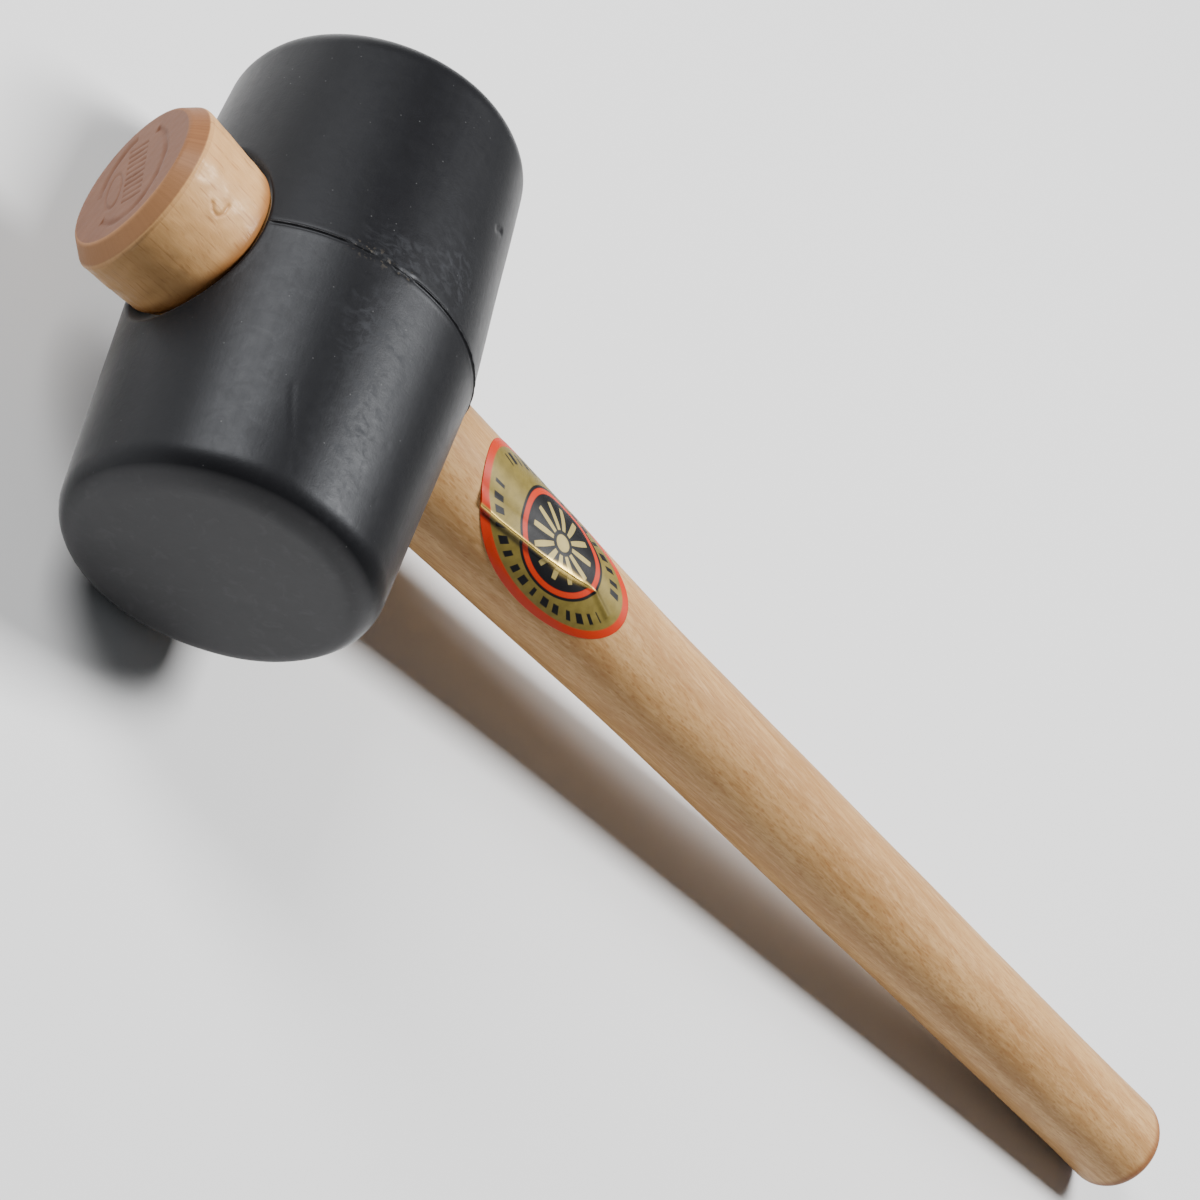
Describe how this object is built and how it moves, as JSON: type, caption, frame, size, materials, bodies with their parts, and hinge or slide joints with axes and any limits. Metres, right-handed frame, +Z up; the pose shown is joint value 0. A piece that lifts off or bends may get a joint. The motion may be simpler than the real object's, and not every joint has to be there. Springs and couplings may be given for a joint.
{
  "type": "rubber mallet",
  "caption": "Black rubber mallet with a double-faced drafted head on a turned beech handle that runs through it and ends in a chamfered knob.",
  "frame": {"origin": "middle of the underside of the bounding box, on the bench the mallet lies on", "axes": "+X along the handle from the knob to the grip end, Y along the head with the striking face nearest the viewer at -Y, +Z up from the bench"},
  "size_m": [0.3604, 0.1084, 0.0644],
  "materials": {
    "black_rubber": "moulded black rubber, satin on the sides and matt on the striking faces",
    "beech": "turned beech with fine flecks under a thin satin lacquer",
    "foil": "glossy printed gold foil paper with an orange-red border"
  },
  "bodies": {
    "root": {"rubber_head": "black_rubber", "handle": "beech", "label": "foil"}
  },
  "joints": []
}
